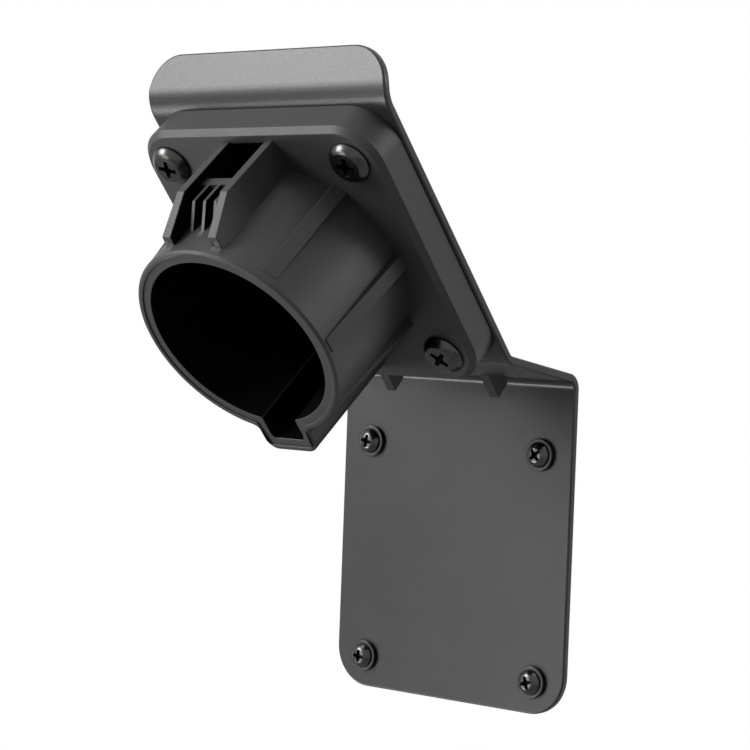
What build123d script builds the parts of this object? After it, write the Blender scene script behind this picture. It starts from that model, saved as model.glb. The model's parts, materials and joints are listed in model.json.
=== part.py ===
"""Wall bracket of folded sheet with a moulded holster for a car charging plug.

Own frame in millimetres: +X to the right, -Y to the front, +Z up. The wall is the plane
Y = 0, and the origin is the middle of the four fixing screws on the plate's back face.
"""
import os
from math import cos, radians, sin, tan

from build123d import *

# Folded sheet. Lengths run along the middle of the sheet from corner to corner of its
# straight runs, and angles are taken up from the horizontal, towards the front.
sheet_thickness = 2.0
sheet_width = 70.0
bend_inside_radius = 2.0
plate_height = 80.6
flange_length = 27.5
flange_angle = 9.3
slope_length = 73.4
slope_angle = 49.1
lip_height = 11.0
lip_angle = 95.7
plate_corner_radius = 9.8
lip_corner_radius = 9.5

# Pressed stiffeners across the lower bend
gusset_places = (-20.5, 11.6)
gusset_leg = 4.6
gusset_nose_width = 2.4
gusset_foot_width = 8.4
gusset_depth = 2.7

# Fixing screws and washers of the lower plate
plate_screw_inset_x = 9.0
plate_screw_pitch_z = 54.4
plate_screw_rise = 35.0
plate_screw_shank = 3.0
plate_screw_neck = 2.8
plate_screw_head = 6.1
plate_screw_head_height = 1.7
plate_screw_reach = 10.0
plate_hole_clearance = 0.6
washer_outside = 7.9
washer_thickness = 1.1
washer_bore_clearance = 0.3

# Holster base, a square box with a bevelled front edge, open at the back
seat_offset = -0.3
base_width = 68.8
base_height = 71.0
base_depth = 8.7
base_corner_radius = 10.0
base_bevel = 1.3
base_wall = 2.6
base_face = 3.0
base_rib = 1.6

# Screws that hold the holster, and the nuts behind the slope
holster_screw_inset_x = 8.05
holster_screw_inset_up = 8.7
holster_screw_shank = 5.0
holster_screw_head = 10.0
holster_screw_head_height = 2.2
holster_screw_end = 0.8
holster_hole_clearance = 0.5
boss_diameter = 10.4
nut_flats = 8.0
nut_thickness = 2.7
nut_bore_clearance = 0.1

# Tube of the holster and the keyway along its lower side
bore_diameter = 45.0
tube_wall = 3.4
tube_length = 38.8
tube_draft = 0.8
rim_bevel = 0.5
rim_ledge_width = 1.9
rim_ledge_depth = 0.4
keyway_width = 9.7
keyway_depth = 5.6
keyway_corner = 1.6
keyway_mouth_round = 0.8
channel_side_wall = 2.5
channel_floor_wall = 3.5
channel_corner = 3.0
channel_root_round = 2.0

# Tapered ribs along the tube, by their angles about its axis. The ones at the sides end in
# a small step near the mouth, and the slanting ones fade into the tube.
side_rib_angles = (0, 180)
slant_rib_angles = (-45, 45, 135, 225)
side_rib_width = 3.7
side_rib_root_rise = 1.9
side_rib_tip_rise = 0.35
side_rib_end_gap = 1.2
slant_rib_tip_rise = 0.08
slant_rib_end_gap = 2.4

# Latch guard above the tube: two cheeks, and a catch with three ribs between them
cheek_gap = 11.2
cheek_thickness = 2.2
cheek_draft = 3.5
cheek_lean = 0.35
cheek_rise = 6.9
cheek_kink = 26.6
cheek_end = 36.0
cheek_end_rise = 1.7
catch_rise = 4.8
catch_back = 19.1
catch_thickness = 2.5
catch_rib_count = 3
catch_rib_pitch = 3.2
catch_rib_width = 0.9
catch_rib_kink = 27.3
catch_rib_end = 31.9
pocket_margin = 0.55
pocket_wall = 1.6

# Cross recesses of the screws, as shares of each head, and their turns in degrees
recess_span_share = 0.5
recess_slot_share = 0.13
recess_depth_share = 0.62
holster_recess_turns = (10, 45, -15, -15)
plate_recess_turns = (-5, 16, -12, 38)

# Lengths worked out from the sizes above
half_sheet = sheet_thickness / 2
seat_distance = slope_length / 2 + seat_offset
plate_screw_pitch_x = sheet_width - 2 * plate_screw_inset_x
holster_screw_pitch_x = base_width - 2 * holster_screw_inset_x
holster_screw_pitch_up = base_height - 2 * holster_screw_inset_up
bore_radius = bore_diameter / 2
tube_radius = bore_radius + tube_wall
root_radius = tube_radius - tube_wall / 2
cheek_top = tube_radius + cheek_rise
catch_top = tube_radius + catch_rise
keyway_floor = bore_radius + keyway_depth
channel_floor = keyway_floor + channel_floor_wall
channel_width = keyway_width + 2 * channel_side_wall


def step(length, angle):
    """A run of the sheet's middle line as a (y, z) pair, forward and up."""
    return -length * cos(radians(angle)), length * sin(radians(angle))


def fold_corners():
    """Corners of the sheet's middle line from the plate's lower edge to the lip's top."""
    corners = [(-half_sheet, -plate_screw_rise)]
    runs = (
        (plate_height, 90),
        (flange_length, flange_angle),
        (slope_length, slope_angle),
        (lip_height, lip_angle),
    )
    for length, angle in runs:
        y, z = corners[-1]
        run_y, run_z = step(length, angle)
        corners.append((y + run_y, z + run_z))
    return corners


def slope_seat():
    """Plane of the slope's front face at the tube's axis: its local Y runs up the slope."""
    corner_y, corner_z = fold_corners()[2]
    along_y, along_z = step(seat_distance, slope_angle)
    out_y, out_z = -sin(radians(slope_angle)), -cos(radians(slope_angle))
    middle = (corner_y + along_y + out_y * half_sheet, corner_z + along_z + out_z * half_sheet)
    return Plane(origin=(0, *middle), x_dir=(1, 0, 0), z_dir=(0, out_y, out_z))


plate_front = Plane(origin=(0, -sheet_thickness, 0), x_dir=(1, 0, 0), z_dir=(0, -1, 0))
seat = slope_seat()
seat_side = Plane(origin=seat.origin, x_dir=seat.y_dir, z_dir=seat.x_dir)
base_front = seat.offset(base_depth)
mouth = seat.offset(tube_length)
slope_back = seat.offset(-sheet_thickness)
mouth_axis = Axis(seat.origin, seat.z_dir)


def gusset_plane(place):
    """Plane across a stiffener's ridge at its middle: its local Y points to the bend."""
    corner_y, corner_z = fold_corners()[1]
    inner_y = corner_y - half_sheet
    inner_z = corner_z - half_sheet * tan(radians(45 - flange_angle / 2))
    leg_y, leg_z = step(gusset_leg, flange_angle)
    middle = (inner_y + leg_y / 2, inner_z + (leg_z - gusset_leg) / 2)
    return Plane(origin=(place, *middle), x_dir=(1, 0, 0), z_dir=(0, leg_y, leg_z + gusset_leg))


def gusset_half_length():
    """Half the length of a stiffener's ridge, from its tip on the plate to the flange's."""
    leg_y, leg_z = step(gusset_leg, flange_angle)
    return Vector(0, leg_y, leg_z + gusset_leg).length / 2


def stiffener_profile(start, depth):
    """Blunt wedge with its nose at the start, opening towards the bend at a fixed slope."""
    nose = gusset_nose_width / 2
    foot = nose + (gusset_foot_width - gusset_nose_width) / 2 * depth / gusset_depth
    end = start + depth
    Polyline((-nose, start), (nose, start), (foot, end), (-foot, end), close=True)


def make_bracket():
    """The folded sheet with its rounded corners, pressed stiffeners and screw holes."""
    lip_normal = Axis((0, 0, 0), (0, sin(radians(lip_angle)), cos(radians(lip_angle))))
    with BuildPart() as bracket:
        with BuildSketch(Plane.YZ):
            with BuildLine():
                FilletPolyline(*fold_corners(), radius=bend_inside_radius + half_sheet)
            trace(line_width=sheet_thickness)
        extrude(amount=sheet_width / 2, both=True)
        fillet(bracket.edges().filter_by(Axis.Y).group_by(Axis.Z)[0], plate_corner_radius)
        fillet(bracket.edges().filter_by(lip_normal).group_by(Axis.Z)[-1], lip_corner_radius)

        for place in gusset_places:
            across = gusset_plane(place)
            with BuildSketch(across):
                with BuildLine():
                    stiffener_profile(0, gusset_depth)
                make_face()
            extrude(amount=gusset_half_length(), both=True)
            with BuildSketch(across):
                with BuildLine():
                    stiffener_profile(sheet_thickness, 2 * gusset_depth)
                make_face()
            extrude(amount=gusset_half_length() + half_sheet, both=True, mode=Mode.SUBTRACT)

        with BuildSketch(plate_front):
            with GridLocations(plate_screw_pitch_x, plate_screw_pitch_z, 2, 2):
                Circle((plate_screw_shank + plate_hole_clearance) / 2)
        extrude(amount=-sheet_thickness, mode=Mode.SUBTRACT)
        with BuildSketch(seat):
            with GridLocations(holster_screw_pitch_x, holster_screw_pitch_up, 2, 2):
                Circle((holster_screw_shank + holster_hole_clearance) / 2)
        extrude(amount=-sheet_thickness, mode=Mode.SUBTRACT)
    bracket.part.label = "bracket"
    return bracket.part


def keyed_outline(radius, width, floor, corner, root_round):
    """Circle with a slot below it, rounded in the slot's corners and where the two meet."""
    with BuildSketch(mode=Mode.PRIVATE) as outline:
        with Locations((0, -floor / 2)):
            Rectangle(width, floor)
        fillet(outline.vertices().group_by(Axis.Y)[0], corner)
        Circle(radius)
        meeting_points = outline.vertices().group_by(Axis.Y)[2]
        fillet(meeting_points, root_round)
    return outline.sketch


def make_base():
    """The hollow square base with its bosses and webs, bevelled round the front."""
    cavity = base_depth - base_face
    with BuildPart() as base:
        with BuildSketch(seat):
            RectangleRounded(base_width, base_height, base_corner_radius)
        extrude(amount=base_depth)
        chamfer(base.faces().sort_by(mouth_axis)[-1].edges(), base_bevel)
        with BuildSketch(seat):
            inner_corner = base_corner_radius - base_wall
            RectangleRounded(base_width - 2 * base_wall, base_height - 2 * base_wall, inner_corner)
        extrude(amount=cavity, mode=Mode.SUBTRACT)
        with BuildSketch(seat):
            with GridLocations(holster_screw_pitch_x, holster_screw_pitch_up, 2, 2):
                Circle(boss_diameter / 2)
            Rectangle(base_width - base_wall, base_rib)
            Rectangle(base_rib, base_height - base_wall)
            Rectangle(holster_screw_pitch_x * 2 ** 0.5, base_rib, rotation=45)
            Rectangle(holster_screw_pitch_x * 2 ** 0.5, base_rib, rotation=-45)
        extrude(amount=cavity)
    return base.part


def make_pocket(outside, bottom, top, depth):
    """Block in the middle of the base between two heights above the tube's axis."""
    with BuildPart() as pocket:
        with BuildSketch(seat):
            with Locations((0, (bottom + top) / 2)):
                Rectangle(outside, top - bottom)
        extrude(amount=depth)
    return pocket.part


def make_tube():
    """The drafted tube and its keyway channel, solid until the bore is cut."""
    with BuildPart() as tube:
        with BuildSketch(mouth):
            rounds = (channel_corner, channel_root_round)
            add(keyed_outline(tube_radius, channel_width, channel_floor, *rounds))
        extrude(amount=-tube_length, taper=-tube_draft)
    return tube.part


def make_side_rib(angle, tip_rise, end_gap):
    """One tapered rib along the tube, low at the mouth and higher at the base."""
    radial = seat.x_dir * cos(radians(angle)) + seat.y_dir * sin(radians(angle))
    root_rise = side_rib_root_rise + tan(radians(tube_draft)) * (tube_length - base_depth)
    rib_start = base_depth - base_face
    rib_end = tube_length - end_gap
    with BuildPart() as rib:
        with BuildSketch(Plane(origin=seat.origin, x_dir=radial, z_dir=radial.cross(seat.z_dir))):
            with BuildLine():
                Polyline(
                    (root_radius, rib_start),
                    (tube_radius + root_rise, rib_start),
                    (tube_radius + root_rise, base_depth),
                    (tube_radius + tip_rise, rib_end),
                    (root_radius, rib_end),
                    close=True,
                )
            make_face()
        extrude(amount=side_rib_width / 2, both=True)
    return rib.part


def make_cheek(side):
    """One of the two cheeks beside the latch, drafted, and sloping down to the mouth."""
    inside = cheek_gap / 2
    outside = inside + cheek_thickness
    root = outside + (cheek_top - root_radius) * tan(radians(cheek_draft))
    with BuildPart() as cheek:
        with BuildSketch(seat):
            with BuildLine():
                Polyline(
                    (side * inside, root_radius),
                    (side * (inside - cheek_lean), cheek_top),
                    (side * (outside - cheek_lean), cheek_top),
                    (side * root, root_radius),
                    close=True,
                )
            make_face()
        extrude(amount=cheek_end)
        with BuildSketch(seat_side):
            with BuildLine():
                Polyline(
                    (0, 0),
                    (cheek_top, 0),
                    (cheek_top, cheek_kink),
                    (tube_radius + cheek_end_rise, cheek_end),
                    (0, cheek_end),
                    close=True,
                )
            make_face()
        extrude(amount=base_width / 2, both=True, mode=Mode.INTERSECT)
    return cheek.part


def make_catch():
    """The catch wall between the cheeks, with its ramped ribs towards the mouth."""
    middle = (catch_rib_count - 1) / 2
    with BuildPart() as catch:
        with BuildSketch(seat.offset(catch_back)):
            with Locations((0, (root_radius + catch_top) / 2)):
                Rectangle(cheek_gap, catch_top - root_radius)
        extrude(amount=catch_thickness)
        for index in range(catch_rib_count):
            with BuildSketch(seat_side.offset((index - middle) * catch_rib_pitch)):
                with BuildLine():
                    Polyline(
                        (root_radius, catch_back),
                        (catch_top, catch_back),
                        (catch_top, catch_rib_kink),
                        (tube_radius, catch_rib_end),
                        (root_radius, catch_rib_end),
                        close=True,
                    )
                make_face()
            extrude(amount=catch_rib_width / 2, both=True)
    return catch.part


def make_bore():
    """The space that is cut away: the bore, its keyway and the ledge inside the rim."""
    with BuildPart() as bore:
        rounds = (keyway_corner, keyway_mouth_round)
        with BuildSketch(seat):
            add(keyed_outline(bore_radius, keyway_width, keyway_floor, *rounds))
        extrude(amount=tube_length)
        with BuildSketch(mouth):
            ledge_radius = bore_radius + rim_ledge_width
            ledge_width = keyway_width + 2 * rim_ledge_width
            ledge_floor = keyway_floor + rim_ledge_width
            add(keyed_outline(ledge_radius, ledge_width, ledge_floor, *rounds))
        extrude(amount=-rim_ledge_depth)
    return bore.part


def make_holster():
    """The moulded holster, in one piece."""
    pocket_top = cheek_top - pocket_margin
    frame_top = pocket_top + pocket_wall
    with BuildPart() as holster:
        add(make_base())
        frame_width = cheek_gap + 2 * cheek_thickness
        add(make_pocket(frame_width, root_radius, frame_top, base_depth - base_face))
        add(make_pocket(cheek_gap, root_radius, pocket_top, base_depth), mode=Mode.SUBTRACT)
        add(make_tube())
        for angle in side_rib_angles:
            add(make_side_rib(angle, side_rib_tip_rise, side_rib_end_gap))
        for angle in slant_rib_angles:
            add(make_side_rib(angle, slant_rib_tip_rise, slant_rib_end_gap))
        for side in (-1, 1):
            add(make_cheek(side))
        add(make_catch())
        rim = holster.faces().sort_by(mouth_axis)[-1]
        chamfer(rim.outer_wire().edges(), rim_bevel)
        add(make_bore(), mode=Mode.SUBTRACT)
        with BuildSketch(seat):
            with GridLocations(holster_screw_pitch_x, holster_screw_pitch_up, 2, 2):
                Circle((holster_screw_shank + holster_hole_clearance) / 2)
        extrude(amount=base_depth, mode=Mode.SUBTRACT)
    holster.part.label = "holster"
    return holster.part


def make_screw(under_head, turn, head, head_height, shank_runs):
    """Screw with a cross recess turned by an angle, its head on the given plane.

    The shank is a list of runs from the head on, each a diameter and a length.
    """
    with BuildPart() as screw:
        with BuildSketch(under_head):
            Circle(head / 2)
        extrude(amount=head_height)
        with BuildSketch(under_head.offset(head_height)):
            for angle in (turn, turn + 90):
                Rectangle(head * recess_span_share, head * recess_slot_share, rotation=angle)
        extrude(amount=-head_height * recess_depth_share, mode=Mode.SUBTRACT)
        start = under_head
        for diameter, length in shank_runs:
            with BuildSketch(start):
                Circle(diameter / 2)
            extrude(amount=-length)
            start = start.offset(-length)
    return screw.part


def make_washer(face):
    """Flat washer that lies on the given plane."""
    with BuildPart() as washer:
        with BuildSketch(face):
            Circle(washer_outside / 2)
            Circle((plate_screw_shank + washer_bore_clearance) / 2, mode=Mode.SUBTRACT)
        extrude(amount=washer_thickness)
    return washer.part


def make_nut(face):
    """Thin hexagon nut against the slope's back face, its flats to the sides."""
    corner_radius = nut_flats / 2 / cos(radians(30))
    with BuildPart() as nut:
        with BuildSketch(face):
            RegularPolygon(corner_radius, side_count=6, rotation=30)
            Circle((holster_screw_shank + nut_bore_clearance) / 2, mode=Mode.SUBTRACT)
        extrude(amount=-nut_thickness)
    return nut.part


def screw_places(plane, pitch_x, pitch_y):
    """The plane moved to each corner of a rectangle, lower left first."""
    corners = ((-1, -1), (1, -1), (-1, 1), (1, 1))
    return [plane.shift_origin(plane.from_local_coords((i * pitch_x / 2, j * pitch_y / 2, 0)))
            for i, j in corners]


def main():
    """Make every piece and write one file for each."""
    os.makedirs("parts", exist_ok=True)
    pieces = [make_bracket(), make_holster()]

    pitches = (plate_screw_pitch_x, plate_screw_pitch_z)
    for number, place in enumerate(screw_places(plate_front, *pitches), 1):
        washer = make_washer(place)
        washer.label = f"plate_washer_{number}"
        pieces.append(washer)
    washer_front = plate_front.offset(washer_thickness)
    neck = (plate_screw_neck, washer_thickness + sheet_thickness)
    shank_runs = [neck, (plate_screw_shank, plate_screw_reach)]
    places = zip(screw_places(washer_front, *pitches), plate_recess_turns)
    for number, (place, turn) in enumerate(places, 1):
        screw = make_screw(place, turn, plate_screw_head, plate_screw_head_height, shank_runs)
        screw.label = f"plate_screw_{number}"
        pieces.append(screw)

    pitches = (holster_screw_pitch_x, holster_screw_pitch_up)
    length = base_depth + sheet_thickness + nut_thickness + holster_screw_end
    shank_runs = [(holster_screw_shank, length)]
    places = zip(screw_places(base_front, *pitches), holster_recess_turns)
    for number, (place, turn) in enumerate(places, 1):
        screw = make_screw(place, turn, holster_screw_head, holster_screw_head_height, shank_runs)
        screw.label = f"holster_screw_{number}"
        pieces.append(screw)
    for number, place in enumerate(screw_places(slope_back, *pitches), 1):
        nut = make_nut(place)
        nut.label = f"holster_nut_{number}"
        pieces.append(nut)

    for piece in pieces:
        export_step(piece, f"parts/{piece.label}.step")


main()
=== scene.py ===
import json
from math import atan2, cos, pi, radians, sin, tan

import bmesh
import bpy
from mathutils import Matrix, Vector


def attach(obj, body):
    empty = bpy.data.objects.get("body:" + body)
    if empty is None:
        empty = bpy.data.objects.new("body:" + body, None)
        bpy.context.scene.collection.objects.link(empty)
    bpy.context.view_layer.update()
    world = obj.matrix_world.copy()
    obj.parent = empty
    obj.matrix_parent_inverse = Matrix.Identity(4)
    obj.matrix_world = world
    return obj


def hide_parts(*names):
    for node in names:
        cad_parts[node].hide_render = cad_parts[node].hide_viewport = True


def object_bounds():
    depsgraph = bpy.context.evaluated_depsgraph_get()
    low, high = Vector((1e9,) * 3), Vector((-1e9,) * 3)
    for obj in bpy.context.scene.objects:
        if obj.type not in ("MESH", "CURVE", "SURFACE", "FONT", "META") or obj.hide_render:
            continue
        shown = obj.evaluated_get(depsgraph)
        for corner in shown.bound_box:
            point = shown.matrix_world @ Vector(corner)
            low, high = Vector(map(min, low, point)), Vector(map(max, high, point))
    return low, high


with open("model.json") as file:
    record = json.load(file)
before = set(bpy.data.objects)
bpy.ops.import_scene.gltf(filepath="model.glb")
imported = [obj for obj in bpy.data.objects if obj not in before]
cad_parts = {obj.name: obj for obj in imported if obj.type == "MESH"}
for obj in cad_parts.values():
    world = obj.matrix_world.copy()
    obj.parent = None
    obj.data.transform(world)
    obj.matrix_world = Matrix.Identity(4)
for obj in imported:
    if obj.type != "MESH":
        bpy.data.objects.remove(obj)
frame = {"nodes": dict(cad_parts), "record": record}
cad_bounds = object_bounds()

MM = 0.001

# Camera, fitted to the photograph: place and nearest seen in metres, turns in degrees,
# and its sensor in millimetres
camera_place = Vector((0.34509, -0.45382, 0.06068))
camera_yaw = 39.40455
camera_pitch_down = 1.65528
camera_roll = 2.14573
camera_focal_pixels = 2317.82
photo_width_pixels = 750
sensor_width = 36.0
camera_clip_start = 0.01

# Upper bend of the sheet, rounder than in the CAD: corner of its middle line, in
# millimetres, angles of the slope and the lip in degrees, radii of the middle line, half
# the sheet's thickness and the share of it that a point may lie outside
bend_corner = Vector((0.0, -76.196, 105.523))
bend_angles = (49.1, 95.7)
bend_radius_cad = 3.0
bend_radius = 8.0
bend_half_sheet = 1.0
bend_sheet_room = 0.02
bend_steps = 20

# Stiffeners across the lower bend: their places, half their width with some room, and
# heights below and above them, in millimetres. The unit normals of their faces lean
# sideways, or down and to the front, by more than these parts.
stiffener_places = (-20.5, 11.6)
stiffener_reach = 5.2
stiffener_foot = 36.0
stiffener_top = 49.0
stiffener_lean_side = 0.3
stiffener_lean_down = 0.5
stiffener_lean_front = 0.6

# Joining and cutting of the CAD's meshes, in millimetres and degrees. Flat faces with
# more corners than these are rings, which are halved.
merge_distance = 0.002
cut_distance = 0.001
flat_within_angle = 0.6
ring_corners = 60

# Rounding in millimetres of the edges that turn by more than an angle, and the angles
# below which the faces of a kind of piece are shaded as one, in degrees
sheet_edge_round = 0.5
moulding_edge_round = 0.22
rib_edge_round = 0.1
base_edge_round = 0.1
round_segments = 4
sharp_from_angle = 28.0
cad_smooth_angle = 27
screw_smooth_angle = 21
washer_smooth_angle = 50
nut_smooth_angle = 25

# Forms of the moulding, in millimetres from the foot of the tube's axis on the seat: the
# front of the base and a height below its bevel, the keyway, half the reach of the catch
# ribs and their start, and about half the width over the cheeks of the latch guard. A
# side is upright from this sideways part of its unit normal, and a point may lie off a
# form that it belongs to by the rooms.
base_depth = 8.7
base_bevel_from = 1.0
keyway_half = 4.85
keyway_floor = 28.1
rib_reach = 4.2
rib_start = 21.7
guard_half = 8.2
upright_from = 0.98
wide_room = 0.1
fine_room = 0.05

# Steps round every turned piece, and how many there are of each kind
turned_steps = 60
fixings_of_a_kind = 4

# Screws, in millimetres, and the turns of their recesses in degrees. A ring is the arc
# from the face of a head to its rim, and recess shade starts at a share of the depth.
holster_screw = {
    "half": 5.0, "height": 2.2, "face": 3.5, "dome": 0.1, "ring": (62, 24), "tuck": 0.22,
    "neck": 2.1, "crest": 2.5, "root": 2.02, "pitch": 0.8, "thread_length": 5.5,
    "plain_length": 8.7, "crest_share": 0.9, "point": 0.5, "point_share": 0.72,
    "span": 4.9, "slot": 1.1, "fillet": 0.7, "depth": 1.6, "floor_share": 0.5,
}
plate_screw = {
    "half": 3.05, "height": 1.7, "face": 1.5, "dome": 0.08, "ring": (75, 28), "tuck": 0.15,
    "neck": 1.4, "crest": 1.5, "root": 1.02, "pitch": 1.3, "thread_length": 10.0,
    "plain_length": 3.1, "crest_share": 0.5, "point": 3.4, "point_share": 0.06,
    "span": 3.4, "slot": 0.85, "fillet": 0.5, "depth": 1.3, "floor_share": 0.5,
}
recess_turns = {"holster": (10, 45, -15, -15), "plate": (-5, 16, -12, 38)}
face_shares = (0.12, 0.3, 0.5, 0.7, 0.86, 0.97)
ring_share = 0.99
ring_steps = 10
rim_height = 0.09
tuck_steps = 4
rows_per_thread = 8
neck_gap = 0.1
recess_tip_chamfer = 0.12
recess_fillet_steps = 4
recess_above = 0.3
recess_shade_from = 0.2

# Washers and nuts, in millimetres and degrees
washer_bore = 1.65
washer_front_round = 0.3
washer_front_steps = 8
washer_back_round = 0.12
washer_back_steps = 3
nut_bore = 2.56
nut_bore_chamfer = 0.25
nut_flats = 8.0
nut_chamfer_share = 0.94
nut_chamfer_angle = 30.0

# Middle part of a noise's values that tones and roughness are spread over
noise_low = 0.3
noise_high = 0.7

# Floor, lamps and world, in metres, with the spread of a lamp in degrees. A lamp's power
# is its brightness times pi times its area, and a world of strength 1 is white.
stage_centre = Vector((0.0, -0.035, 0.03))
lamp_distance = 1.0
lamp_spread = 90
world_light = 0.6
world_white = 1.0
floor_drop = 1.2
floor_reach = 5.0
floor_corners = 96
floor_tone = 0.85
floor_roughness = 0.9


# Places and pieces

def frame_of(origin, up, out):
    """A matrix whose Y runs up and whose Z points out, with its X to the right."""
    right = up.cross(out)
    turn = Matrix((right, up, out)).transposed().to_4x4()
    return Matrix.Translation(origin) @ turn


bore = {m["name"]: m for m in frame["record"]["mounts"]}["plug_bore"]
bore_radius = bore["dims"]["r_mm"]
bore_length = bore["dims"]["length_mm"]
mouth_direction = Vector(bore["axis"]).normalized()
slope_up = mouth_direction.cross(Vector((1, 0, 0)))
seat_foot = Vector(bore["pos_m"]) - mouth_direction * bore_length / 2 * MM
seat_frame = frame_of(seat_foot, slope_up, mouth_direction)
slope_frame = frame_of(Vector(), slope_up, mouth_direction)
wall_frame = frame_of(Vector(), Vector((0, 0, 1)), Vector((0, -1, 0)))


def box_in(node, axes):
    """Lowest and highest corner of a CAD node, measured along the given axes."""
    back = axes.inverted()
    points = [back @ v.co for v in frame["nodes"][node].data.vertices]
    low = Vector(min(p[i] for p in points) for i in range(3))
    high = Vector(max(p[i] for p in points) for i in range(3))
    return low, high


def new_object(name, bm):
    """An object made of a bmesh, which is used up."""
    mesh = bpy.data.meshes.new(name)
    bm.to_mesh(mesh)
    bm.free()
    thing = bpy.data.objects.new(name, mesh)
    bpy.context.scene.collection.objects.link(thing)
    return thing


def new_piece(name, bm, *nodes, slot):
    """Make an object of a bmesh that rides on the part and stands for the named nodes."""
    piece = new_object(name, bm)
    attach(piece, "root")
    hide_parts(*nodes)
    return piece


def smooth(piece, angle, weigh=True):
    """Smooth shading that keeps edges sharper than the angle, weighted to the large faces."""
    for polygon in piece.data.polygons:
        polygon.use_smooth = True
    piece.data.set_sharp_from_angle(angle=radians(angle))
    if not weigh:
        return
    weighted = piece.modifiers.new("weighted", "WEIGHTED_NORMAL")
    weighted.keep_sharp = True


def joined_copy(node):
    """A bmesh of a CAD node with its flat faces joined and its flat rings halved."""
    bm = bmesh.new()
    bm.from_mesh(frame["nodes"][node].data)
    bmesh.ops.remove_doubles(bm, verts=bm.verts, dist=merge_distance * MM)
    bmesh.ops.dissolve_limit(
        bm, angle_limit=radians(flat_within_angle), verts=bm.verts, edges=bm.edges
    )
    rings = [face for face in bm.faces if len(face.verts) > ring_corners]
    geom = set(rings) | {e for f in rings for e in f.edges} | {v for f in rings for v in f.verts}
    bmesh.ops.bisect_plane(
        bm, geom=list(geom), dist=cut_distance * MM, plane_co=Vector(), plane_no=Vector((1, 0, 0))
    )
    return bm


def round_edges(bm, edge_round, wanted):
    """Round the sharp outer edges of a bmesh that a test picks."""
    sharp = [
        e for e in bm.edges
        if len(e.link_faces) == 2 and e.is_convex and wanted(e)
        and e.calc_face_angle(0) > radians(sharp_from_angle)
    ]
    bmesh.ops.bevel(
        bm, geom=sharp, offset=edge_round * MM, offset_type="OFFSET",
        segments=round_segments, profile=0.5, affect="EDGES", clamp_overlap=False,
        loop_slide=False,
    )


# Materials

def new_material(name):
    """A node material: itself, its nodes and links, and its principled shader."""
    material = bpy.data.materials.new(name)
    material.use_nodes = True
    nodes = material.node_tree.nodes
    return material, nodes, material.node_tree.links, nodes["Principled BSDF"]


def add_noise(nodes, links, place, feature, detail=3.0, rough=0.55):
    """A noise texture whose features are about this many millimetres wide."""
    noise = nodes.new("ShaderNodeTexNoise")
    noise.inputs["Scale"].default_value = 1 / (feature * MM)
    noise.inputs["Detail"].default_value = detail
    noise.inputs["Roughness"].default_value = rough
    links.new(place.outputs["Object"], noise.inputs["Vector"])
    return noise


def add_tone(nodes, links, shader, noise, low, high):
    """Let the colour follow a noise between two colours."""
    ramp = nodes.new("ShaderNodeValToRGB")
    ramp.color_ramp.elements[0].color = (*low, 1)
    ramp.color_ramp.elements[1].color = (*high, 1)
    ramp.color_ramp.elements[0].position = noise_low
    ramp.color_ramp.elements[1].position = noise_high
    links.new(noise.outputs["Fac"], ramp.inputs["Fac"])
    links.new(ramp.outputs["Color"], shader.inputs["Base Color"])


def add_roughness(nodes, links, shader, noise, low, high):
    """Let the roughness follow a noise between two values."""
    spread = nodes.new("ShaderNodeMapRange")
    spread.inputs["From Min"].default_value = noise_low
    spread.inputs["From Max"].default_value = noise_high
    spread.inputs["To Min"].default_value = low
    spread.inputs["To Max"].default_value = high
    links.new(noise.outputs["Fac"], spread.inputs["Value"])
    links.new(spread.outputs["Result"], shader.inputs["Roughness"])


def add_bumps(nodes, links, shader, *layers):
    """Bumps on top of each other. A layer is a noise and a height in millimetres."""
    below = None
    for noise, height in layers:
        bump = nodes.new("ShaderNodeBump")
        bump.inputs["Strength"].default_value = 1.0
        bump.inputs["Distance"].default_value = height * MM
        links.new(noise.outputs["Fac"], bump.inputs["Height"])
        if below:
            links.new(below.outputs["Normal"], bump.inputs["Normal"])
        below = bump
    links.new(below.outputs["Normal"], shader.inputs["Normal"])


def make_powder_coat():
    """Satin black powder coat with its fine orange peel and speckle."""
    material, nodes, links, shader = new_material("powder_coat")
    place = nodes.new("ShaderNodeTexCoord")
    cloud = add_noise(nodes, links, place, feature=14.0)
    peel = add_noise(nodes, links, place, feature=0.9, detail=2.0)
    speckle = add_noise(nodes, links, place, feature=0.28, detail=1.0)
    dark, pale = (0.0132, 0.0134, 0.0140), (0.0166, 0.0168, 0.0174)
    add_tone(nodes, links, shader, cloud, dark, pale)
    add_roughness(nodes, links, shader, speckle, 0.27, 0.35)
    add_bumps(nodes, links, shader, (peel, 0.016), (speckle, 0.010))
    shader.inputs["Specular IOR Level"].default_value = 0.235
    return material


def make_moulding():
    """Black moulded plastic with a fine eroded grain."""
    material, nodes, links, shader = new_material("moulding")
    place = nodes.new("ShaderNodeTexCoord")
    cloud = add_noise(nodes, links, place, feature=9.0)
    grain = add_noise(nodes, links, place, feature=0.22, detail=2.0, rough=0.7)
    dark, pale = (0.0150, 0.0152, 0.0158), (0.0182, 0.0184, 0.0190)
    add_tone(nodes, links, shader, cloud, dark, pale)
    add_roughness(nodes, links, shader, cloud, 0.46, 0.52)
    add_bumps(nodes, links, shader, (grain, 0.012))
    shader.inputs["Specular IOR Level"].default_value = 0.26
    return material


def make_moulding_painted_shade():
    """The same plastic with lower roughness, its colour painted near black as shade in the bore and
    between the cheeks of the latch guard.
    """
    material, nodes, links, shader = new_material("moulding_painted_shade")
    place = nodes.new("ShaderNodeTexCoord")
    cloud = add_noise(nodes, links, place, feature=9.0)
    dark, pale = (0.0018, 0.0018, 0.0020), (0.0026, 0.0026, 0.0028)
    add_tone(nodes, links, shader, cloud, dark, pale)
    add_roughness(nodes, links, shader, cloud, 0.16, 0.24)
    shader.inputs["Specular IOR Level"].default_value = 0.05
    return material


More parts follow.
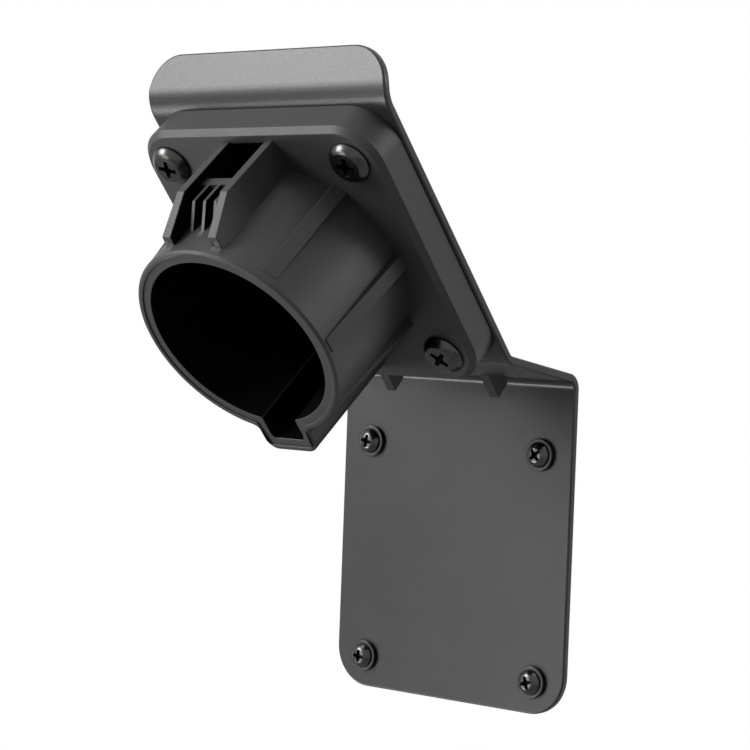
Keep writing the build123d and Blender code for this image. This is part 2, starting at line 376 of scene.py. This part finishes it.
def make_black_steel():
    """Black nickel plate, glossy, with a fine texture and handling haze."""
    material, nodes, links, shader = new_material("black_steel")
    place = nodes.new("ShaderNodeTexCoord")
    haze = add_noise(nodes, links, place, feature=1.6)
    fine = add_noise(nodes, links, place, feature=0.15, detail=1.0)
    dark, pale = (0.045, 0.0443, 0.0438), (0.06, 0.059, 0.058)
    add_tone(nodes, links, shader, haze, dark, pale)
    add_roughness(nodes, links, shader, haze, 0.2, 0.28)
    add_bumps(nodes, links, shader, (fine, 0.002))
    shader.inputs["Metallic"].default_value = 1.0
    return material


def make_satin_steel():
    """Black plate on stamped washers and nuts, duller than on the screws."""
    material, nodes, links, shader = new_material("satin_steel")
    place = nodes.new("ShaderNodeTexCoord")
    haze = add_noise(nodes, links, place, feature=1.1)
    dark, pale = (0.024, 0.0238, 0.024), (0.032, 0.0318, 0.032)
    add_tone(nodes, links, shader, haze, dark, pale)
    add_roughness(nodes, links, shader, haze, 0.34, 0.42)
    shader.inputs["Metallic"].default_value = 1.0
    return material


def make_recess_painted_shade():
    """Duller plate in the depth of the driving recesses, its colour darkened as painted shade."""
    material, nodes, links, shader = new_material("recess_painted_shade")
    place = nodes.new("ShaderNodeTexCoord")
    haze = add_noise(nodes, links, place, feature=1.1)
    dark, pale = (0.004, 0.004, 0.0042), (0.007, 0.007, 0.0072)
    add_tone(nodes, links, shader, haze, dark, pale)
    add_roughness(nodes, links, shader, haze, 0.42, 0.5)
    shader.inputs["Metallic"].default_value = 1.0
    return material


materials = {
    "powder_coat": make_powder_coat(),
    "moulding": make_moulding(),
    "moulding_painted_shade": make_moulding_painted_shade(),
    "black_steel": make_black_steel(),
    "satin_steel": make_satin_steel(),
    "recess_painted_shade": make_recess_painted_shade(),
}


def paint(piece, *names):
    """Give a piece its materials; the faces of a piece keep their numbers."""
    numbers = [polygon.material_index for polygon in piece.data.polygons]
    piece.data.materials.clear()
    for name in names:
        piece.data.materials.append(materials[name])
    piece.data.polygons.foreach_set("material_index", numbers)


# Bracket

def by_stiffener(point):
    """Whether a point in millimetres is at a stiffener or above it."""
    beside = min(abs(point.x - place) for place in stiffener_places)
    return beside < stiffener_reach and point.z > stiffener_foot


def off_stiffeners(edge):
    """Whether an edge is clear of the stiffeners pressed across the lower bend."""
    return not by_stiffener((edge.verts[0].co + edge.verts[1].co) / 2 / MM)


def along(angle):
    """Direction along a run of the sheet at an angle up from the horizontal."""
    return Vector((0, -cos(angle), sin(angle)))


def out_of(angle):
    """Direction out of the front of a run of the sheet at an angle."""
    return Vector((0, -sin(angle), -cos(angle)))


def widen_bend(bm):
    """Cut the sheet into strips across the upper bend and lay them on a larger radius."""
    start, end = (radians(a) for a in bend_angles)
    middle, half_turn = (start + end) / 2, (end - start) / 2
    old_centre = bend_corner - out_of(middle) * bend_radius_cad / cos(half_turn)
    new_centre = bend_corner - out_of(middle) * bend_radius / cos(half_turn)
    arc = half_turn * bend_radius_cad
    reach = arc + (bend_radius - bend_radius_cad) * tan(half_turn)

    def old_place(s):
        """Point and direction of the CAD's middle line at a run from the bend's middle."""
        if abs(s) <= arc:
            angle = middle + s / bend_radius_cad
            return old_centre + out_of(angle) * bend_radius_cad, along(angle)
        angle = end if s > 0 else start
        tangent = old_centre + out_of(angle) * bend_radius_cad
        return tangent + along(angle) * (abs(s) - arc) * (1 if s > 0 else -1), along(angle)

    for i in range(bend_steps + 1):
        place, direction = old_place(reach * (2 * i / bend_steps - 1))
        bmesh.ops.bisect_plane(
            bm, geom=bm.verts[:] + bm.edges[:] + bm.faces[:], dist=cut_distance * MM,
            plane_co=place * MM, plane_no=direction,
        )

    for vertex in bm.verts:
        point = Vector((0, vertex.co.y, vertex.co.z)) / MM - old_centre
        turn = atan2(point.dot(along(middle)), point.dot(out_of(middle)))
        if abs(turn) <= half_turn:
            s, height = turn * bend_radius_cad, point.length - bend_radius_cad
        else:
            sign = 1 if turn > 0 else -1
            angle = end if turn > 0 else start
            s = sign * (arc + sign * point.dot(along(angle)))
            height = point.dot(out_of(angle)) - bend_radius_cad
        if abs(s) > reach or abs(height) > bend_half_sheet * (1 + bend_sheet_room):
            continue
        angle = middle + s / reach * half_turn
        place = new_centre + out_of(angle) * (bend_radius + height)
        vertex.co.y, vertex.co.z = place.y * MM, place.z * MM


def make_bracket():
    """The folded sheet with rounded edges, a wide upper bend and crisp stiffeners."""
    bm = joined_copy("bracket")
    round_edges(bm, sheet_edge_round, off_stiffeners)
    widen_bend(bm)
    bracket = new_piece("bracket_sheet", bm, "bracket", slot="powder_coat")
    smooth(bracket, cad_smooth_angle)
    for polygon in bracket.data.polygons:
        middle, normal = polygon.center / MM, polygon.normal
        down_front = normal.z < -stiffener_lean_down and normal.y < -stiffener_lean_front
        leans = abs(normal.x) > stiffener_lean_side or down_front
        if leans and by_stiffener(middle) and middle.z < stiffener_top:
            polygon.use_smooth = False
    paint(bracket, "powder_coat")


# Holster

def in_seat(point):
    """A point in millimetres right, up the slope and out from the foot of the tube's axis."""
    return tuple((seat_frame.inverted() @ point) / MM)


def on_rib(edge):
    """Whether an edge belongs to the small ribs of the catch."""
    x, up, out = in_seat((edge.verts[0].co + edge.verts[1].co) / 2)
    return abs(x) < rib_reach and up > bore_radius + fine_room and out > rib_start


def on_base(edge):
    """Whether an edge belongs to the bevelled front of the square base."""
    heights = [in_seat(vertex.co)[2] for vertex in edge.verts]
    return min(heights) > base_bevel_from and max(heights) < base_depth + wide_room


def in_bore(face):
    """Whether a face belongs to the bore or its keyway."""
    for vertex in face.verts:
        x, up, out = in_seat(vertex.co)
        in_circle = x * x + up * up < (bore_radius + wide_room) ** 2
        in_keyway = abs(x) < keyway_half + fine_room and -keyway_floor - fine_room < up < 0
        if not (in_circle or in_keyway) or out > bore_length + fine_room:
            return False
    return True


def in_guard(face):
    """Whether a face is an upright side between the cheeks of the latch guard."""
    places = [in_seat(vertex.co) for vertex in face.verts]
    for x, up, out in places:
        if abs(x) > guard_half or up < bore_radius + fine_room or out < -fine_room:
            return False
    sideways = face.normal.x
    on_ribs = all(abs(x) < rib_reach for x, up, out in places)
    return abs(sideways) > upright_from and (on_ribs or sideways * places[0][0] < 0)


def make_holster():
    """The moulding with rounded edges, smoother in its bore and latch guard, where its colour is
    painted dark as shade.
    """
    bm = joined_copy("holster")
    round_edges(bm, moulding_edge_round, lambda edge: not on_rib(edge) and not on_base(edge))
    round_edges(bm, rib_edge_round, on_rib)
    round_edges(bm, base_edge_round, on_base)
    # Faces of the bore and between the cheeks of the latch guard get the second material, painted
    # near black as shade
    for face in bm.faces:
        face.material_index = 1 if in_bore(face) or in_guard(face) else 0
    holster = new_piece("holster_moulding", bm, "holster", slot="moulding")
    smooth(holster, cad_smooth_angle)
    paint(holster, "moulding", "moulding_painted_shade")


# Turned pieces, made in millimetres about Z

def turned_rings(bm, rows):
    """Rings of vertices. A row is a radius and a height, each a number or a function of the angle."""
    rings = []
    for radius, height in rows:
        ring = []
        for i in range(turned_steps):
            angle = 2 * pi * i / turned_steps
            r = radius(angle) if callable(radius) else radius
            z = height(angle) if callable(height) else height
            ring.append(bm.verts.new((r * cos(angle), r * sin(angle), z)))
        rings.append(ring)
    return rings


def join_rings(bm, rings, closed=False):
    """Faces between each ring and the next one, and back to the first where it is closed."""
    pairs = list(zip(rings, rings[1:]))
    if closed:
        pairs.append((rings[-1], rings[0]))
    for a, b in pairs:
        for i in range(len(a)):
            j = (i + 1) % len(a)
            bm.faces.new((a[i], b[i], b[j], a[j]))


def cap_ring(bm, ring, height, outward):
    """A fan of triangles that closes a ring with a point on the axis."""
    tip = bm.verts.new((0, 0, height))
    for i in range(len(ring)):
        j = (i + 1) % len(ring)
        bm.faces.new((ring[i], ring[j], tip) if outward else (ring[j], ring[i], tip))


def closed_ring_mesh(rows):
    """A bmesh of a piece with a hole, turned from a closed profile."""
    bm = bmesh.new()
    join_rings(bm, turned_rings(bm, rows), closed=True)
    bmesh.ops.recalc_face_normals(bm, faces=bm.faces)
    return bm


def arc_rows(centre, radius, start, end, steps):
    """Rows of a profile along an arc, from one angle to another, in degrees."""
    angles = [radians(start + (end - start) * i / steps) for i in range(steps + 1)]
    return [(centre[0] + radius * cos(a), centre[1] + radius * sin(a)) for a in angles]


def head_rows(size):
    """Rows of a head from its crown down: a nearly flat face, a curved ring and the rim."""
    face, edge_height = size["face"], size["height"] - size["dome"]
    rows = [(face * share, size["height"] - size["dome"] * share ** 2) for share in face_shares]
    first, last = size["ring"]
    centre = (-cos(radians(first)), -sin(radians(first)))
    arc = arc_rows(centre, 1.0, first, last, ring_steps)
    scale = (size["half"] - face) * ring_share / arc[-1][0]
    rows += [(face + r * scale, edge_height + z * scale) for r, z in arc]
    rows.append((size["half"], rows[-1][1] - rim_height))
    tuck = size["tuck"]
    rows += arc_rows((size["half"] - tuck, tuck), tuck, 0, -90, tuck_steps)
    return rows


def thread_rows(size):
    """Rows of the plain neck and the thread below the head, and the height of the point."""
    start = -size["plain_length"]
    rows = [(size["neck"], 0.0), (size["neck"], start + neck_gap)]
    count = round(size["thread_length"] / size["pitch"] * rows_per_thread)
    last = start - size["thread_length"]

    def radius_at(height):
        def radius(angle):
            turn = (height / size["pitch"] - angle / (2 * pi)) % 1
            ridge = max(0.0, 1 - abs(2 * turn - 1) / size["crest_share"])
            full = size["root"] + (size["crest"] - size["root"]) * ridge
            run_out = min(1.0, (start - height) / size["pitch"])
            left = min(1.0, (height - last) / size["point"])
            share = size["point_share"] + (1 - size["point_share"]) * left
            return (size["neck"] * (1 - run_out) + full * run_out) * share
        return radius

    for i in range(count + 1):
        height = start - size["thread_length"] * i / count
        rows.append((radius_at(height), height))
    return rows, last


def cross_outline(span, slot, fillet):
    """Corners of a cross with its inner corners rounded, anticlockwise."""
    half, side, points = span / 2, slot / 2, []
    inset = recess_tip_chamfer
    for quarter in range(4):
        turn = Matrix.Rotation(quarter * pi / 2, 2)
        shape = [(half - inset, -side), (half, -side + inset), (half, side - inset)]
        shape.append((half - inset, side))
        shape += arc_rows((side + fillet, side + fillet), fillet, 270, 180, recess_fillet_steps)
        points += [turn @ Vector(p) for p in shape]
    return points


def recess_cutter(size):
    """Tapered cross that is cut out of a head."""
    narrow = (1 - size["floor_share"]) / size["depth"]
    bm = bmesh.new()
    loops = []
    for height, share in (
        (size["height"] - size["depth"], size["floor_share"]),
        (size["height"] + recess_above, 1 + narrow * recess_above),
    ):
        slot, fillet = size["slot"] * (1 + share) / 2, size["fillet"] * share
        outline = cross_outline(size["span"] * share, slot, fillet)
        loops.append([bm.verts.new((x, y, height)) for x, y in outline])
    join_rings(bm, loops[::-1])
    bm.faces.new(loops[0][::-1])
    bm.faces.new(loops[1])
    bmesh.ops.recalc_face_normals(bm, faces=bm.faces)
    return bm


def screw_mesh(size):
    """A whole screw, its head above the plane Z = 0, with the depth of its cross recess in a second
    material, painted dark as shade.
    """
    bm = bmesh.new()
    rows, last = thread_rows(size)
    rings = turned_rings(bm, head_rows(size) + rows)
    join_rings(bm, rings)
    cap_ring(bm, rings[0], size["height"], True)
    cap_ring(bm, rings[-1], last, False)
    bmesh.ops.recalc_face_normals(bm, faces=bm.faces)
    body = new_object("screw_body", bm)
    cutter = new_object("screw_cutter", recess_cutter(size))
    cut = body.modifiers.new("cut", "BOOLEAN")
    cut.operation = "DIFFERENCE"
    cut.solver = "EXACT"
    cut.object = cutter
    bpy.context.view_layer.update()
    result = bmesh.new()
    result.from_object(body, bpy.context.evaluated_depsgraph_get())
    # Faces deep in the recess get the second material, painted dark as shade
    for face in result.faces:
        middle = face.calc_center_median()
        deep = 0 < middle.z < size["height"] - size["depth"] * recess_shade_from
        face.material_index = 1 if deep and middle.to_2d().length < size["span"] / 2 else 0
    for thing in (body, cutter):
        mesh = thing.data
        bpy.data.objects.remove(thing)
        bpy.data.meshes.remove(mesh)
    return result


def washer_mesh(outside, thickness):
    """A flat washer with its outer edge rounded, most of all in front."""
    front, back = washer_front_round, washer_back_round
    rows = [(washer_bore + back, 0.0), (washer_bore, back), (washer_bore, thickness - back)]
    rows += [(washer_bore + back, thickness), (outside - 2 * front, thickness)]
    rows += arc_rows((outside - front, thickness - front), front, 90, 0, washer_front_steps)
    rows += arc_rows((outside - back, back), back, 0, -90, washer_back_steps)
    return closed_ring_mesh(rows)


def hexagon_radius(angle):
    """Radius of the hexagon at an angle, its flats to the sides."""
    off_flat = (angle + pi / 6) % (pi / 3) - pi / 6
    return nut_flats / 2 / cos(off_flat)


def nut_mesh(thickness):
    """A hexagon nut with its corners chamfered at both ends."""
    circle = nut_flats / 2 * nut_chamfer_share
    chamfer = nut_bore_chamfer

    def fall(angle):
        return (hexagon_radius(angle) - circle) * tan(radians(nut_chamfer_angle))

    rows = [
        (nut_bore + chamfer, 0.0), (nut_bore, chamfer), (nut_bore, thickness - chamfer),
        (nut_bore + chamfer, thickness), (circle, thickness),
        (hexagon_radius, lambda angle: thickness - fall(angle)),
        (hexagon_radius, fall), (circle, 0.0),
    ]
    return closed_ring_mesh(rows)


def place_at(node, axes, height, turn=0.0):
    """A matrix at the middle of a CAD node and a height along its axis, in millimetres."""
    low, high = box_in(node, axes)
    origin = axes @ Vector(((low.x + high.x) / 2, (low.y + high.y) / 2, height * MM))
    return Matrix.Translation(origin) @ axes @ Matrix.Rotation(radians(turn), 4, "Z")


def put_copy(source, matrix, node, angle, *names):
    """A piece made of a copy of a mesh in millimetres that stands for a CAD node."""
    bm = source.copy()
    bmesh.ops.transform(bm, matrix=matrix @ Matrix.Scale(MM, 4), verts=bm.verts)
    piece = new_piece(node + "_look", bm, node, slot="black_steel")
    smooth(piece, angle, weigh=False)
    paint(piece, *names)


def make_screws():
    """The screws of both kinds, each with its recess turned as in the photograph."""
    for kind, size, axes in (
        ("holster", holster_screw, slope_frame),
        ("plate", plate_screw, wall_frame),
    ):
        source = screw_mesh(size)
        for number, turn in enumerate(recess_turns[kind], 1):
            node = f"{kind}_screw_{number}"
            top = box_in(node, axes)[1].z / MM
            matrix = place_at(node, axes, top - size["height"], turn)
            put_copy(source, matrix, node, screw_smooth_angle, "black_steel", "recess_painted_shade")
        source.free()


def make_washer(node):
    """A washer the size of its CAD node."""
    low, high = box_in(node, wall_frame)
    source = washer_mesh((high.x - low.x) / 2 / MM, (high.z - low.z) / MM)
    matrix = place_at(node, wall_frame, low.z / MM)
    put_copy(source, matrix, node, washer_smooth_angle, "satin_steel")
    source.free()


def make_nut(node):
    """A nut as thick as its CAD node."""
    low, high = box_in(node, slope_frame)
    source = nut_mesh((high.z - low.z) / MM)
    matrix = place_at(node, slope_frame, low.z / MM)
    put_copy(source, matrix, node, nut_smooth_angle, "satin_steel")
    source.free()


make_bracket()
make_holster()
make_screws()
for number in range(1, fixings_of_a_kind + 1):
    make_washer(f"plate_washer_{number}")
    make_nut(f"holster_nut_{number}")


# Camera

camera_data = bpy.data.cameras.new("camera")
camera_data.sensor_width = sensor_width
camera_data.lens = camera_focal_pixels / photo_width_pixels * sensor_width
camera_data.clip_start = camera_clip_start
camera_data.dof.use_dof = False
camera = bpy.data.objects.new("camera", camera_data)
bpy.context.scene.collection.objects.link(camera)
camera.matrix_world = (
    Matrix.Translation(camera_place)
    @ Matrix.Rotation(radians(camera_yaw), 4, "Z")
    @ Matrix.Rotation(radians(90 - camera_pitch_down), 4, "X")
    @ Matrix.Rotation(radians(camera_roll), 4, "Z")
)
bpy.context.scene.camera = camera


# Lamps: azimuth from the front towards the right and elevation, in degrees, then width,
# height and brightness

lamps = {
    "key": (-38, 19, 0.42, 0.48, 4.6),
    "key_high": (-44, 32, 0.4, 0.4, 1.8),
    "top_left": (-40, 65, 0.4, 0.4, 1.1),
    "top_right": (60, 65, 0.4, 0.4, 0.5),
    "low_left": (-45, -31, 0.4, 0.22, 5.2),
    "low_front": (-24, -9, 0.4, 0.4, 1.15),
    "back_right": (125, 26, 0.5, 0.4, 1.7),
    "back_low": (165, -20, 0.4, 0.4, 0.35),
}
for name, (azimuth, elevation, width, height, brightness) in lamps.items():
    data = bpy.data.lights.new(name, "AREA")
    data.shape = "RECTANGLE"
    data.size = width
    data.size_y = height
    data.energy = brightness * pi * width * height
    data.spread = radians(lamp_spread)
    lamp = bpy.data.objects.new(name, data)
    bpy.context.scene.collection.objects.link(lamp)
    out = Vector((
        sin(radians(azimuth)) * cos(radians(elevation)),
        -cos(radians(azimuth)) * cos(radians(elevation)),
        sin(radians(elevation)),
    ))
    lamp.location = stage_centre + out * lamp_distance
    lamp.rotation_euler = out.to_track_quat("Z", "Y").to_euler()


# World: white behind the object and in its reflections, dimmer as a light

world = bpy.data.worlds.new("world")
bpy.context.scene.world = world
world.use_nodes = True
nodes, links = world.node_tree.nodes, world.node_tree.links
path = nodes.new("ShaderNodeLightPath")
seen = nodes.new("ShaderNodeMath")
seen.operation = "MAXIMUM"
links.new(path.outputs["Is Camera Ray"], seen.inputs[0])
links.new(path.outputs["Is Glossy Ray"], seen.inputs[1])
seen_too = nodes.new("ShaderNodeMath")
seen_too.operation = "MAXIMUM"
links.new(seen.outputs[0], seen_too.inputs[0])
links.new(path.outputs["Is Transmission Ray"], seen_too.inputs[1])
light = nodes["Background"]
light.inputs["Color"].default_value = (1, 1, 1, 1)
light.inputs["Strength"].default_value = world_light
white = nodes.new("ShaderNodeBackground")
white.inputs["Color"].default_value = (1, 1, 1, 1)
white.inputs["Strength"].default_value = world_white
mix = nodes.new("ShaderNodeMixShader")
links.new(seen_too.outputs[0], mix.inputs["Fac"])
links.new(light.outputs[0], mix.inputs[1])
links.new(white.outputs[0], mix.inputs[2])
links.new(mix.outputs[0], nodes["World Output"].inputs["Surface"])


# Floor

bm = bmesh.new()
bmesh.ops.create_circle(bm, cap_ends=True, radius=floor_reach, segments=floor_corners)
floor = new_object("floor", bm)
floor.location = (0, 0, cad_bounds[0][2] - floor_drop)
material, nodes, links, shader = new_material("floor")
shader.inputs["Base Color"].default_value = (floor_tone, floor_tone, floor_tone, 1)
shader.inputs["Roughness"].default_value = floor_roughness
floor.data.materials.append(material)

view = bpy.context.scene.view_settings
view.view_transform = "Standard"
